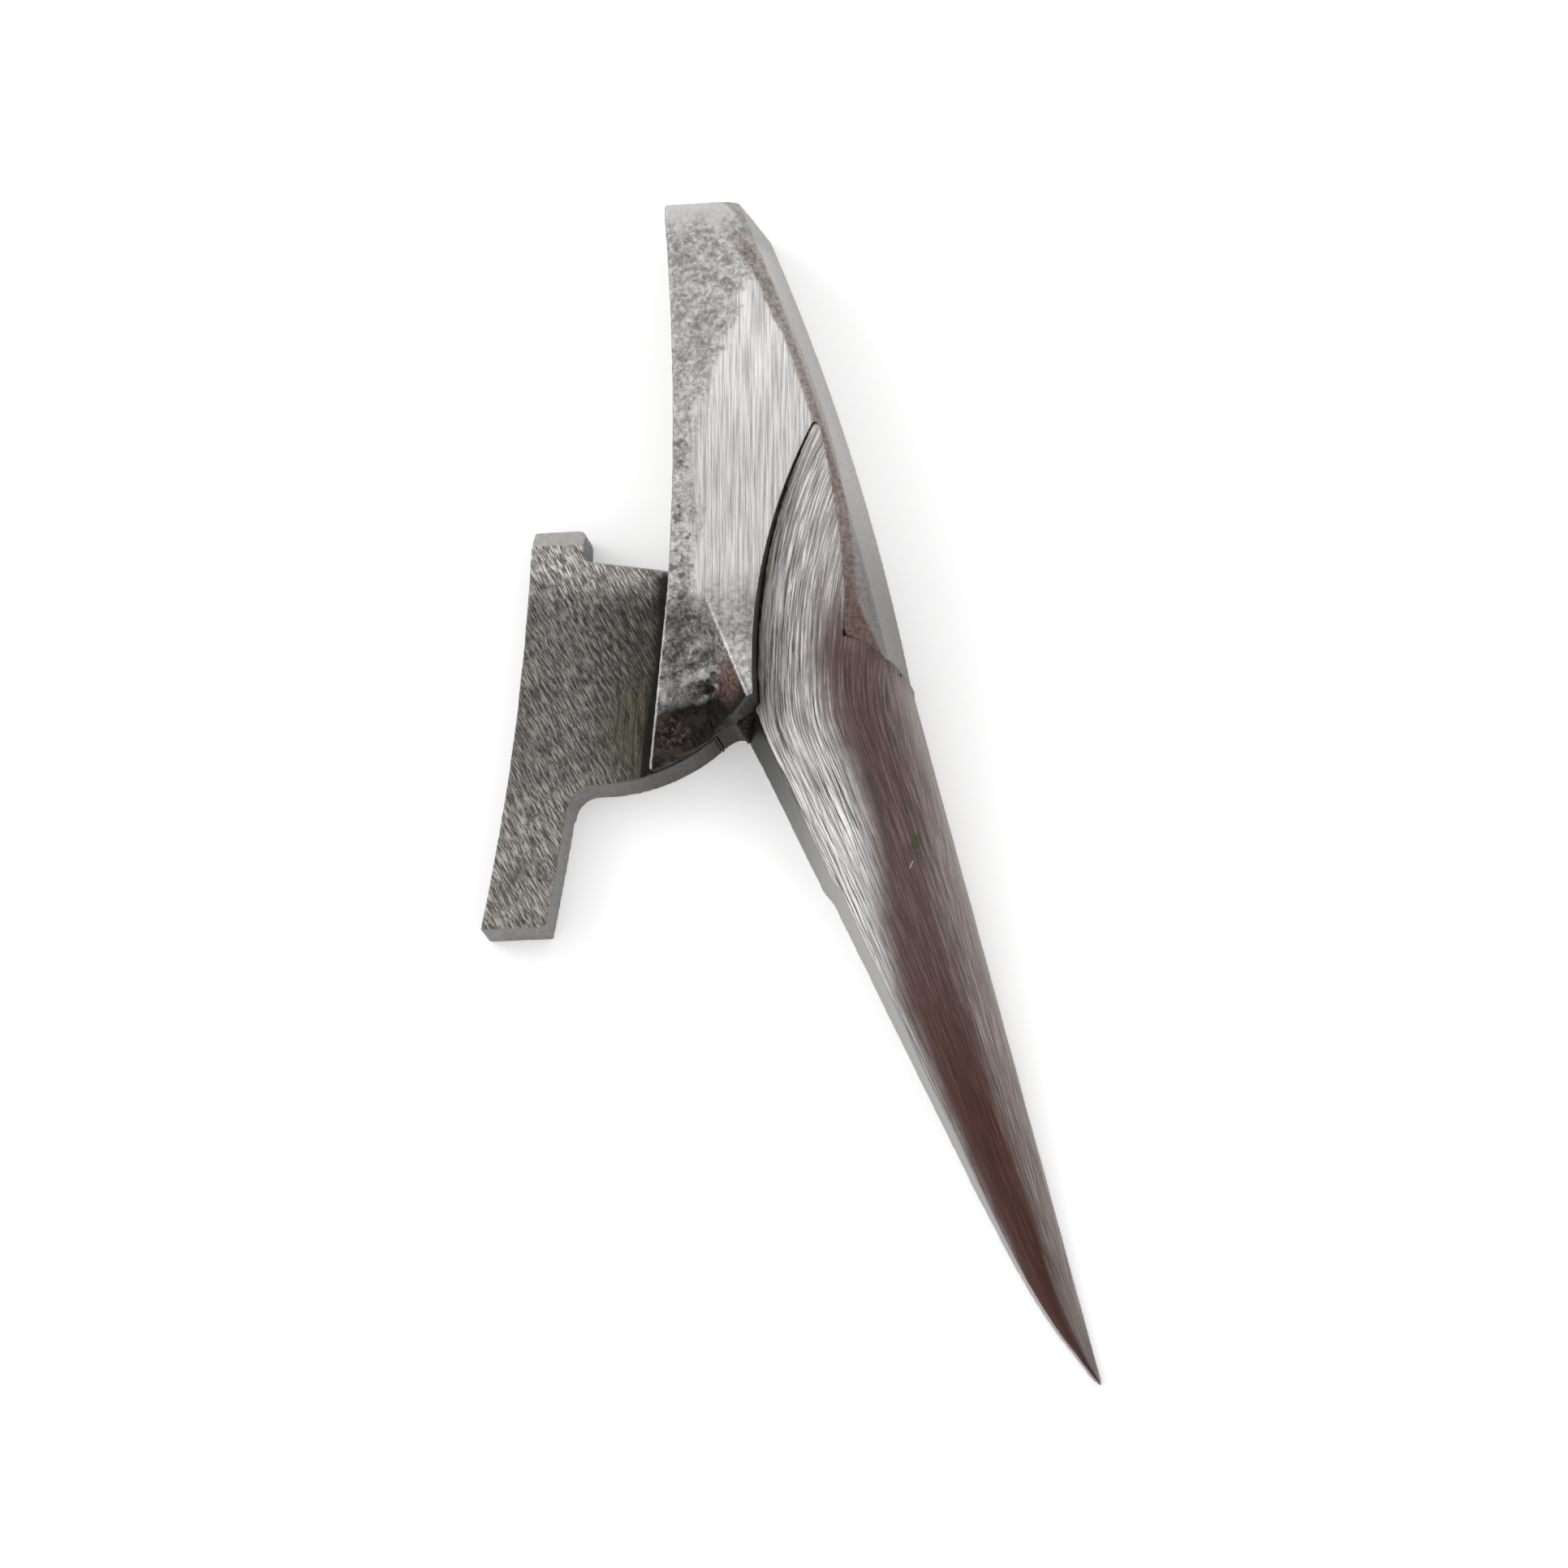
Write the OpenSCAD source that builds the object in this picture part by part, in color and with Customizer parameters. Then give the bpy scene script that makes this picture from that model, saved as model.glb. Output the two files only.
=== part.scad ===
// Small beak anvil. A flat tang, held in a clamp, is let into the back of a
// heel block, and a pointed beak is let into a pocket in its front. Thin films
// of braze hold the three forgings together. The tool lies on its flat back,
// Z = 0, with its ground faces up. The origin is the middle of the tang's back.

/* [Tang] */
// Thickness of the tang plate
tang_t = 4; // [3:0.1:5]
// Reach of the tang plate to the left of the heel block
tang_reach = 12.6; // [11:0.1:15]
// Height of the tang plate at its left edge
tang_h = 19.9; // [18:0.1:22]
// How far the tang reaches under the heel block
tang_lap = 3; // [2:0.1:3.3]
// Radius of the tang's hollow left edge
edge_r = 206; // [150:1:300]
// Width of the leg below the plate
leg_w = 5.2; // [4:0.1:6.5]
// Length of the leg below the plate
leg_len = 11.7; // [8:0.1:15]
// Radius of the inner corner between leg and plate
leg_fillet = 1.9; // [1:0.1:3]
// Width of the stop lug on top of the plate
lug_w = 4.4; // [3.5:0.1:6]
// Height of the stop lug over the plate's left end
lug_h = 2.1; // [1:0.1:3]
// Length of the bevel across the lug's top
lug_bevel = 1.6; // [1:0.1:2]
// Depth of the bevel across the lug's top
lug_bevel_t = 1.2; // [0.6:0.1:2]

/* [Heel block] */
// Thickness of the heel block, from its back to its ground face
heel_t = 9.5; // [8.5:0.1:12]
// Length of the heel block over the tang's lower edge
heel_len = 47.6; // [42:0.1:58]
// Width of the heel block at its rounded top corner
heel_top_w = 8; // [7:0.1:9]
// How far the top of the heel block leans to the left
heel_lean = 0.4; // [0:0.1:1]
// Radius of the rounded top corner
corner_r = 5; // [3:0.1:6]
// Width of the heel block where its spine side ends
heel_root_w = 18.5; // [17.6:0.1:20]
// Radius of the bulging spine side
spine_r = 200; // [150:5:400]
// Draft of the spine side, over the whole thickness
spine_draft = 0.9; // [0.4:0.1:1.4]
// Radius of the crest line, where the bevel of the spine side starts
crest_r = 66; // [60:1:80]
// Fall of the spine bevel per millimetre of its width
crest_fall = 0.6; // [0.4:0.05:1]
// Height on the left side at which the lower scoop starts
scoop_h = 14.4; // [11:0.1:17]
// How far the foot spreads to the left over the tang
foot_spread = 2.3; // [1:0.1:3.5]
// Thickness of the foot over the tang, at its lower edge
foot_t = 1.2; // [0.6:0.1:2]
// Thickness over the tang where the scoop falls into the crotch
crotch_t = 0.5; // [0.4:0.1:1]
// Slope of the hollow around the crotch, in degrees
crotch_slope = 27; // [22:1:35]

/* [Beak] */
// Length of the beak below the tang's lower edge
beak_len = 50.4; // [42:0.1:61]
// Sideways lean of the beak's straight spine per millimetre of length
beak_lean = 0.2585; // [0.2:0.005:0.32]
// Width of the beak's blade across its root
beak_w = 14.2; // [13.4:0.1:14.6]
// How far the crest lies below the heel's face, at the root of the blade
crest_drop = 0.6; // [0.3:0.1:1.5]
// How far the left edge lies below the heel's face, at the root of the blade
edge_drop = 3.1; // [2.5:0.1:4]
// Thickness of the point
point_t = 0.8; // [0.6:0.1:1.2]
// Width of the point
point_w = 0.3; // [0.2:0.05:0.6]

/* [Joints] */
// Left side of the pocket that holds the beak's root
pocket_x = 7; // [6.6:0.1:7.6]
// Width of the pocket
pocket_w = 7.55; // [6.8:0.05:8.2]
// Radius of the pocket's left side
pocket_r = 43; // [38:1:50]
// Thickness of the heel's floor under the beak's root
floor_t = 3; // [2:0.1:4]
// Gap that the braze fills between two parts
braze_gap = 0.12; // [0.08:0.01:0.2]
// Leg of the braze bead along the foot of the heel block
bead = 0.4; // [0.3:0.05:0.6]

/* [Hidden] */
$fn = 180;
far = 200;                       // larger than the whole tool

// plan of the tang
edge_hollow = 0.6;
edge_mid = 29.6;
edge_centre = [-tang_reach - edge_r + edge_hollow, edge_mid];
top_slope = 0.175;
lug_corner_r = 0.8;
lug_lean = 0.2;
lug_root = 3;

// underside, from the tang's lower edge round to the crotch
under_r = 15;
under_x = -6.5;
under_end = 42;
crotch_r = 1.5;
crotch_end = 70;

// spine side of the heel block and its crest line
cheek_y = 8.1;
corner_y = heel_len - 3.4;
corner_out = 1.3;
pocket_mid = 8;
crest_mid = 11;
spine_chord = [heel_root_w - heel_top_w, cheek_y - corner_y];
spine_half = norm(spine_chord) / 2;
spine_drop = sqrt(pow(spine_r, 2) - pow(spine_half, 2));
spine_normal = [-spine_chord.y, spine_chord.x] / norm(spine_chord);
spine_centre = [heel_top_w, corner_y] + spine_chord / 2 - spine_normal * spine_drop;
pocket_centre = [pocket_x + pocket_r, pocket_mid];
crest_centre = [pocket_x + pocket_w - crest_r, crest_mid];

// point at the pocket's top, where its two arcs meet
pocket_span = norm(crest_centre - pocket_centre);
pocket_way = (crest_centre - pocket_centre) / pocket_span;
apex_along = (pow(pocket_span, 2) + pow(pocket_r, 2) - pow(crest_r, 2)) / (2 * pocket_span);
apex_across = sqrt(pow(pocket_r, 2) - pow(apex_along, 2));
apex = pocket_centre + apex_along * pocket_way + apex_across * [pocket_way.y, -pocket_way.x];

// left side of the heel block, slightly hollow above the scoop
hollow = 0.6;
hollow_chord = norm([heel_lean, heel_len - scoop_h]);
hollow_turn = atan2(heel_lean, heel_len - scoop_h);
hollow_r = pow(hollow_chord, 2) / (8 * hollow);

// lower scoop of the heel block: a gentle ramp and a steep side up to the ridge
ramp_angle = atan2(heel_t - tang_t - foot_t, scoop_h);
ramp_lean = 3;
ridge_top = [3.1, scoop_h - 0.5];
ridge_angle = 22.3;
ridge_steep = 48;

// height of the braze film over the floor of the pocket
film_h = 2.5;

// blade of the beak
root_y = 3.4;
tip_y = -beak_len;
crest_h = heel_t - crest_drop;
edge_h = heel_t - edge_drop;
belly = 2.65;
belly_run = 4.2;
edge_draft = 0.268;
edge_share = 0.35;
edge_power = 1.25;
point_crown = 1.15;
crest_power = 1.1;
crest_share = 0.38;
crest_turn = 14;
hollow_from = -12;
hollow_run = 20;
hollow_power = 1.2;
spine_share = 0.12;
root_side = 2;
root_edge = 0.3;
rows = 56;
row_power = 1.15;
cols = 10;

// where the underside's last arc ends, and the seam that rises from there to the
// crest line and falls again to the spine
crotch_start = [under_x + under_r * sin(under_end), under_r * (1 - cos(under_end))];
crotch_centre = crotch_start + crotch_r * [sin(under_end), -cos(under_end)];
crotch_tip = crotch_centre + crotch_r * [cos(crotch_end), sin(crotch_end)];
seam_angle = 32;
seam_top = [pocket_x + pocket_w, crotch_tip.y + (pocket_x + pocket_w - crotch_tip.x) * tan(seam_angle)];

function arc(centre, r, from, to, steps = 12) =
    [for (i = [0:steps]) let (a = from + (to - from) * i / steps) centre + r * [cos(a), sin(a)]];
function mix(a, b, t) = a + (b - a) * t;
function clamp(t) = min(1, max(0, t));
function top_y(x) = tang_h - top_slope * (x + tang_reach);

// plan of the blade, at a height y
function blade_run(y) = (y - tip_y) / (root_y - tip_y);
function spine_x(y) = heel_root_w + beak_lean * (cheek_y - y);
function blade_w(y) = let (d = y - tip_y)
    point_w + belly * (1 - exp(-d / belly_run)) + (beak_w - belly - point_w) * blade_run(y);
function arc_x(y) = pocket_centre.x - sqrt(pow(pocket_r, 2) - pow(y - pocket_centre.y, 2));
function crest_arc_x(y) = crest_centre.x + sqrt(pow(crest_r, 2) - pow(y - crest_centre.y, 2));

// heights of the blade's left edge and crest, which rise to the heel's face
function root_rise(y) = clamp((y - root_y) / (apex.y - root_y));
function left_z(y) = y > root_y ? mix(edge_h, heel_t, root_rise(y))
    : mix(point_t, edge_h, pow(blade_run(y), edge_power));
function crest_z(y) = y > root_y ? mix(crest_h, heel_t, root_rise(y))
    : mix(point_t * point_crown, crest_h, pow(blade_run(y), crest_power));
function left_x(y) = y > root_y ? arc_x(y) - root_side : spine_x(y) - blade_w(y);
function edge_x(y) = y > root_y
    ? mix(left_x(root_y) + edge_draft * edge_h, arc_x(y) - root_edge, clamp((y - root_y) / root_side))
    : left_x(y) + min(edge_draft * left_z(y), edge_share * blade_w(y));
function crest_place(y) = mix(crest_share,
    (crest_arc_x(root_y) - edge_x(root_y)) / (spine_x(root_y) - edge_x(root_y)),
    pow(clamp((y + crest_turn) / (crest_turn + root_y)), 2));
function crest_x(y) = y > root_y ? crest_arc_x(y) : mix(edge_x(y), spine_x(y), crest_place(y));

// one cross-section of the blade: hollow from its edge to the crest, then round
function hollow_rise(t, y) = mix(sin(90 * t), pow(t, hollow_power),
    clamp((y - hollow_from) / hollow_run));
function round_fall(t, y) = let (n = mix(2, 3, clamp(blade_run(y)))) pow(1 - pow(t, n), 1 / n);
function section(y) = let (xl = edge_x(y), xc = crest_x(y), xr = spine_x(y),
        zl = left_z(y), zc = crest_z(y), ze = spine_share * zc)
    concat([[left_x(y), 0]],
        [for (i = [0:cols - 1]) let (t = i / cols)
            [mix(xl, xc, t), mix(zl, zc, hollow_rise(t, y))]],
        [for (i = [0:cols]) let (t = sin(90 * i / cols))
            [mix(xc, xr, t), mix(ze, zc, round_fall(t, y))]],
        [[xr, 0]]);

// Blade and root in one sweep of cross-sections, from the point upwards
module blade_sweep() {
    top = apex.y + 1;
    ys = [for (i = [0:rows]) tip_y + (top - tip_y) * pow(i / rows, row_power)];
    rings = [for (y = ys) [for (p = section(y)) [p.x, y, p.y]]];
    n = len(rings[0]);
    sides = [for (i = [0:rows - 1]) for (j = [0:n - 1]) let (k = (j + 1) % n)
        each [[i * n + j, (i + 1) * n + k, i * n + k], [i * n + j, (i + 1) * n + j, (i + 1) * n + k]]];
    polyhedron([for (r = rings) each r],
        concat([[for (j = [0:n - 1]) j]], sides, [[for (j = [n - 1:-1:0]) rows * n + j]]));
}

// Everything above the seam between heel block and blade, which is roofed in plan
module above_seam(shift = 0)
    translate([seam_top.x, seam_top.y + shift / cos(seam_angle)])
        polygon([[0, 0], far * [cos(seam_angle), -sin(seam_angle)], [far, 2 * far], [-far, 2 * far],
            -far * [cos(seam_angle), sin(seam_angle)]]);

// Pointed pocket between two arcs, above the seam
module pocket_plan(inset = 0, shift = 0)
    intersection() {
        translate(pocket_centre) circle(pocket_r - inset);
        translate(crest_centre) circle(crest_r - inset);
        above_seam(shift);
    }

// Underside shared by tang and heel block: everything above it
module above_underside()
    polygon(concat([[-far, 0]],
        arc([under_x, under_r], under_r, -90, -90 + under_end),
        arc(crotch_centre, crotch_r, 90 + under_end, crotch_end, 8),
        [[far, crotch_tip.y], [far, far], [-far, far]]));

module heel_plan()
    intersection() {
        above_underside();
        union() {
            above_seam();
            translate([crotch_tip.x - far, 0]) square([far, far]);
        }
        difference() {
            polygon([[-foot_spread, 0], [0, scoop_h], [-heel_lean, heel_len],
                [far, heel_len], [far, -far], [-foot_spread, -far]]);
            translate([0, scoop_h]) rotate(hollow_turn)
                translate([hollow - hollow_r, hollow_chord / 2]) intersection() {
                circle(hollow_r, $fn = 720);
                square([3 * hollow_r, hollow_chord], center = true);
            }
        }
        union() {
            translate([-far, -far]) square([2 * far, far + heel_len - corner_r]);
            translate([-far, 0]) square([far + heel_top_w + corner_out - corner_r, far]);
            translate([heel_top_w + corner_out - corner_r, heel_len - corner_r]) circle(corner_r);
        }
    }

module tang_outline()
    difference() {
        union() {
            intersection() {
                above_underside();
                polygon([[-far, 0], [tang_lap, 0], [tang_lap, top_y(tang_lap)],
                    [-far, top_y(-far)]]);
            }
            leg_band(leg_w, -leg_len, leg_len + 1);
            leg_band(lug_w, tang_h - lug_root, lug_h + lug_root - lug_corner_r);
            lug_top();
            leg_corner();
        }
        translate(edge_centre) circle(edge_r, $fn = 720);
    }

// Strip along the tang's left edge, from height y up
module leg_band(w, y, h)
    intersection() {
        translate(edge_centre) circle(edge_r + w, $fn = 720);
        translate([-2 * tang_reach, y]) square([2 * tang_reach, h]);
    }

module lug_top()
    intersection() {
        lug_y = tang_h + lug_h;
        leg_band(lug_w, lug_y - 2 * lug_corner_r, 2 * lug_corner_r);
        union() {
            corner_x = edge_centre.x + edge_r + lug_w - lug_corner_r - lug_lean;
            translate([corner_x, lug_y - lug_corner_r]) circle(lug_corner_r);
            translate([corner_x - far, 0]) square([far, far]);
        }
    }

// Filled inner corner where the leg meets the plate
module leg_corner() {
    x = edge_centre.x + sqrt(pow(edge_r + leg_w, 2) - pow(edge_centre.y + leg_fillet / 2, 2));
    difference() {
        translate([x - 1, -leg_fillet]) square([leg_fillet + 1, leg_fillet + 1]);
        translate([x + leg_fillet, -leg_fillet]) circle(leg_fillet);
    }
}

module tang_solid()
    difference() {
        linear_extrude(tang_t) tang_outline();
        lug_y = tang_h + lug_h;
        translate([-2 * tang_reach, lug_y - lug_bevel, tang_t])
            rotate([-atan2(lug_bevel_t, lug_bevel), 0, 0]) cube([2 * tang_reach, far, tang_t]);
    }

// Space in the back of the heel block that the tang fills, with its braze
module tang_seat()
    translate([0, 0, -1]) linear_extrude(tang_t + braze_gap + 1)
        polygon([[-far, -far], [tang_lap + braze_gap, -far],
            [tang_lap + braze_gap, top_y(tang_lap) + braze_gap],
            [-far, top_y(-far) + braze_gap]]);

// Cutter for the scoop in the heel's lower left corner, and its hollow round the crotch
module scoop()
    intersection() {
        union() {
            translate([0, scoop_h, heel_t]) rotate([ramp_angle, -ramp_lean, 0])
                translate([-far / 2, -far, 0]) cube([far, far + 1, far]);
            translate([crotch_centre.x, crotch_centre.y, tang_t + crotch_t])
                cylinder(r1 = crotch_r, r2 = crotch_r + heel_t / tan(crotch_slope), h = heel_t);
        }
        translate([ridge_top.x, ridge_top.y, heel_t]) rotate([0, 0, ridge_angle])
            rotate([0, -ridge_steep, 0]) translate([-far, -far / 2, 0]) cube([far, far, far]);
    }

module heel_blank()
    intersection() {
        linear_extrude(heel_t) heel_plan();
        translate(spine_centre)
            cylinder(r1 = spine_r, r2 = spine_r - spine_draft, h = heel_t, $fn = 720);
        union() {
            translate(crest_centre)
                cylinder(r1 = crest_r + heel_t / crest_fall, r2 = crest_r, h = heel_t, $fn = 360);
            translate([-far / 2, corner_y - 1, 0]) cube([far, far, heel_t]);
        }
    }

// Root of the beak in its pocket, and the blade below the seam
module beak_envelope(inset)
    union() {
        translate([0, 0, floor_t + inset]) linear_extrude(far) pocket_plan(inset, -2 * inset);
        linear_extrude(far) difference() {
            translate([-far / 2, -far]) square([far, 2 * far]);
            above_seam(-inset);
        }
    }

module placed() translate([tang_reach / 2, -tang_h / 2, 0]) children();

module tang_plate() color("dimgray") placed() tang_solid();

module heel_block()
    color("darkgray") placed() difference() {
        heel_blank();
        tang_seat();
        scoop();
        translate([0, 0, floor_t]) linear_extrude(far) pocket_plan();
    }

module beak()
    color("rosybrown") placed() intersection() {
        blade_sweep();
        beak_envelope(braze_gap);
    }

module tang_braze()
    color("peru") placed() {
        difference() {
            intersection() {
                linear_extrude(heel_t) heel_plan();
                tang_seat();
            }
            linear_extrude(tang_t) tang_outline();
        }
        intersection() {
            union() {
                bead_run([0, scoop_h], scoop_h, atan2(-foot_spread, scoop_h));
                bead_run([0, top_y(0)], top_y(0) - scoop_h, 0);
            }
            linear_extrude(heel_t) above_underside();
        }
    }

// Three-cornered bead of braze on the tang's face, from one point down
module bead_run(start, length, turn)
    translate([start.x, start.y, tang_t]) rotate([0, 0, turn]) rotate([90, 0, 0])
        linear_extrude(length) polygon([[0, 0], [-bead, 0], [0, bead]]);

module beak_braze()
    color("sandybrown") placed() difference() {
        union() {
            translate([0, 0, floor_t]) linear_extrude(film_h) pocket_plan(0, -braze_gap);
            linear_extrude(floor_t + film_h) seam_strip();
        }
        translate([0, 0, floor_t + braze_gap]) linear_extrude(far) pocket_plan(braze_gap, -far);
    }

module seam_strip()
    intersection() {
        difference() {
            above_seam(-braze_gap);
            above_seam();
        }
        translate([crotch_tip.x, 0]) square([heel_root_w - crotch_tip.x, far]);
    }

tang_plate();
heel_block();
beak();
tang_braze();
beak_braze();
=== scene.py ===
"""Looks of the small beak anvil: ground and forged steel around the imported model."""
import math

import bpy
from mathutils import Matrix, Vector


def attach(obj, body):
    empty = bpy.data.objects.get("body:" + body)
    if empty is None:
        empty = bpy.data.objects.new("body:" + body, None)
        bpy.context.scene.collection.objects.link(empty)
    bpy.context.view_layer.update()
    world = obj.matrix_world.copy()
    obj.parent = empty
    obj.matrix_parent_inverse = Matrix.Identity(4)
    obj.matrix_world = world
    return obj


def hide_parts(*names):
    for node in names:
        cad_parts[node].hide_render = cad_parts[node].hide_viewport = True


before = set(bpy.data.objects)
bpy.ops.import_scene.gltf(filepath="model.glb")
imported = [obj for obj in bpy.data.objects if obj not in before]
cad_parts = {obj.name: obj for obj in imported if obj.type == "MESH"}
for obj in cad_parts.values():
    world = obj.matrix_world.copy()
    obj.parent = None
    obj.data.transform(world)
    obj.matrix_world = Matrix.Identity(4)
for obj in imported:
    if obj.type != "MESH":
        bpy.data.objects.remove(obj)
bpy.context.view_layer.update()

MM = 0.001

# Where the tang's lower edge meets the heel block's left side. All shapes below are
# measured from this corner, in millimetres, as the beak, heel block and tang are.
CORNER = Vector((6.3, -9.95, 0.0))

# Arcs of the pocket in the heel block, which hold the root of the beak
PLUNGE_CENTRE = (50.0, 8.0)
PLUNGE_R = 43.0
CREST_CENTRE = (-51.45, 11.0)
CREST_R = 66.0

# Blade of the beak: its straight spine, and how its width grows from the point
CHEEK_Y = 8.1
CHEEK_X = 18.5
LEAN = 0.2585
ROOT_Y = 3.4
TIP_Y = -50.4
BLADE_W = 14.2
BELLY = 2.65
BELLY_RUN = 4.2
POINT_W = 0.3

# Seam between heel block and blade: two straight runs that meet on the crest line,
# and the stretch of it that the root of the beak hides
SEAM_TOP = (14.55, 10.09)
SEAM_ANGLE = 32
SEAM_HIDDEN = (5.5, 14.4)
POCKET_FOOT_Y = 4.0

# Ridge between the ground face of the heel block and its scoop
RIDGE_TOP = (3.1, 13.9)
RIDGE_NORMAL = (0.925, 0.379)
FOOT_SPREAD = 2.3
SCOOP_H = 14.4

# Cast skin left on the heel block: a strip on its left that widens to the top end
CAST_W = 1.9
CAST_SPREAD = 5.5
CAST_FROM = 28.0
CAST_RUN = 16.0

# Spine side of the heel block: a millimetre down it counts as this much beyond the
# crest, and below this height its brown bevel widens by this slope
HEEL_T = 9.5
DOWN_THE_SIDE = 0.17
BEVEL_WIDENS_Y = 13.1
BEVEL_SLOPE = 0.46

# Flow lines of the root start this far left of the plunge arc
ROOT_MARGIN = 1.7


# ---------------------------------------------------------------- small helpers

def activate(piece):
    bpy.ops.object.select_all(action="DESELECT")
    piece.select_set(True)
    bpy.context.view_layer.objects.active = piece


def apply_modifier(piece, kind, **settings):
    modifier = piece.modifiers.new(kind.title(), kind)
    for name, value in settings.items():
        setattr(modifier, name, value)
    activate(piece)
    bpy.ops.object.modifier_apply(modifier=modifier.name)


def smoothstep(value, low, high):
    t = min(1.0, max(0.0, (value - low) / (high - low)))
    return t * t * (3 - 2 * t)


def local(point):
    """A point of the frame, in millimetres from the corner."""
    return Vector(point) / MM - CORNER


def framed(point):
    return (Vector(point) + CORNER) * MM


def weigh(piece, name, weight):
    """A vertex group whose weight at each place is weight(x, y, z)."""
    group = piece.vertex_groups.new(name=name)
    for vertex in piece.data.vertices:
        group.add([vertex.index], weight(*local(vertex.co)), "REPLACE")


# ---------------------------------------------------------------- forged pieces

VOXEL = 0.17 * MM


def forged_copy(node, name, rounding, worn):
    """The CAD node's own shape with a fine even mesh, and edges rounded where worn
    is 1, the more the higher rounding is."""
    piece = bpy.data.objects.new(name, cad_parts[node].data.copy())
    bpy.context.scene.collection.objects.link(piece)
    activate(piece)
    bpy.ops.object.mode_set(mode="EDIT")
    bpy.ops.mesh.select_all(action="SELECT")
    bpy.ops.mesh.remove_doubles(threshold=0.001 * MM)
    bpy.ops.object.mode_set(mode="OBJECT")
    apply_modifier(piece, "REMESH", mode="VOXEL", voxel_size=VOXEL, use_smooth_shade=True)
    weigh(piece, "worn", worn)
    apply_modifier(piece, "SMOOTH", factor=0.5, iterations=rounding, vertex_group="worn")
    return piece


def push(piece, name, weight, direction, distance):
    """Moves the surface by distance, in millimetres, where weight(x, y, z) is 1."""
    weigh(piece, name, weight)
    apply_modifier(piece, "DISPLACE", direction=direction, mid_level=0.0,
                   strength=distance * MM, vertex_group=name)


def rough_skin(piece, name, size, depth, weight):
    """Lumps and pits of a cast or forged skin, as real relief."""
    texture = bpy.data.textures.new(name, type="CLOUDS")
    texture.noise_scale = size * MM
    texture.noise_depth = 3
    weigh(piece, name, weight)
    apply_modifier(piece, "DISPLACE", texture=texture, texture_coords="LOCAL",
                   mid_level=0.5, strength=depth * MM, vertex_group=name)


def from_plunge(x, y):
    """Distance into the pocket from its left arc."""
    return PLUNGE_R - math.hypot(x - PLUNGE_CENTRE[0], y - PLUNGE_CENTRE[1])


def from_crest(x, y):
    """Distance beyond the crest line, towards the spine."""
    return math.hypot(x - CREST_CENTRE[0], y - CREST_CENTRE[1]) - CREST_R


def seam_height(x):
    """Where the heel block ends and the blade starts."""
    return SEAM_TOP[1] - abs(x - SEAM_TOP[0]) * math.tan(math.radians(SEAM_ANGLE))


def near_seam(x, y):
    """Distance from the nearest line where heel block and beak meet in view."""
    lines = []
    if y > POCKET_FOOT_Y:
        lines += [abs(from_plunge(x, y)), abs(from_crest(x, y))]
    if not SEAM_HIDDEN[0] < x < SEAM_HIDDEN[1]:
        lines.append(abs(y - seam_height(x)))
    return min(lines, default=1.0)


def everywhere(x, y, z):
    return 1.0


def soft_edges(x, y, z):
    """Wear, which stops short of the seams."""
    return smoothstep(near_seam(x, y), 0.15, 0.6)


def soft_blade(x, y, z):
    """Wear of the beak, which spares its point as well."""
    return smoothstep(y, TIP_Y, TIP_Y + 5.0) * soft_edges(x, y, z)


def ridge_side(x, y):
    """Distance from the ridge of the scoop, towards the foot."""
    return (RIDGE_TOP[0] - x) * RIDGE_NORMAL[0] + (RIDGE_TOP[1] - y) * RIDGE_NORMAL[1]


def in_scoop(x, y, z):
    """The scoop's floor, away from its ridge, its left edge and the tang."""
    from_left = x + FOOT_SPREAD * (1 - y / SCOOP_H)
    return (smoothstep(ridge_side(x, y), 0.7, 2.4) * smoothstep(y, 14.5, 12.5)
            * smoothstep(z, 4.4, 5.2) * smoothstep(from_left, 0.2, 1.0))


def is_cast(x, y, z):
    """The strip of cast skin on the heel block's front."""
    edge = CAST_W + CAST_SPREAD * min(1.0, max(0.0, (y - CAST_FROM) / CAST_RUN))
    return smoothstep(x, edge + 0.8, edge - 0.8) * smoothstep(z, 7.0, 9.0)


def lip(x, y, z):
    """The rounded lip above the hollow of the crotch."""
    across = y - (5.9 + 0.55 * (x + 1))
    return smoothstep(abs(across), 1.3, 0.2) * in_scoop(x, y, z) * smoothstep(x, 4.6, 3.0)


def top_band(x, y, z):
    """The front's last millimetre at the top end, which falls away."""
    return smoothstep(y, 46.1, 47.6) ** 2 * smoothstep(z, 5.0, 9.0)


def build_heel():
    piece = forged_copy("heel_block", "heel_forging", rounding=5, worn=soft_edges)
    push(piece, "top_fall", top_band, "Z", -0.7)
    push(piece, "lip", lip, "Z", 0.55)
    rough_skin(piece, "cast_grain", 0.5, 0.10, is_cast)
    rough_skin(piece, "scoop_lumps", 1.6, 0.9, in_scoop)
    rough_skin(piece, "scoop_grain", 0.45, 0.22, in_scoop)
    return piece


def build_tang():
    piece = forged_copy("tang_plate", "tang_forging", rounding=5, worn=everywhere)
    rough_skin(piece, "tang_unevenness", 3.0, 0.08, everywhere)
    return piece


def below_kink(x, y, z):
    """The left side of the blade, below the small step in its edge."""
    across = (x - blade_left(y)) / blade_width(y)
    on_blade = smoothstep(y, -8.5, -10.1) * smoothstep(y, TIP_Y, TIP_Y + 3)
    return on_blade * smoothstep(across, 0.6, 0.1)


def beside_plunge(x, y, z):
    """The root's side along the plunge arc."""
    return smoothstep(abs(from_plunge(x, y)), 0.45, 0.3) * smoothstep(y, 4.4, 4.8)


def beside_crest(x, y, z):
    """The root's side along the crest line."""
    return smoothstep(abs(from_crest(x, y)), 0.45, 0.3) * smoothstep(y, 10.4, 10.8)


def beside_cheek(x, y, z):
    """The blade's end face under the cheek of the heel block."""
    return smoothstep(abs(y - seam_height(x)), 0.45, 0.3) * smoothstep(x, 14.4, 14.8)


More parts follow.
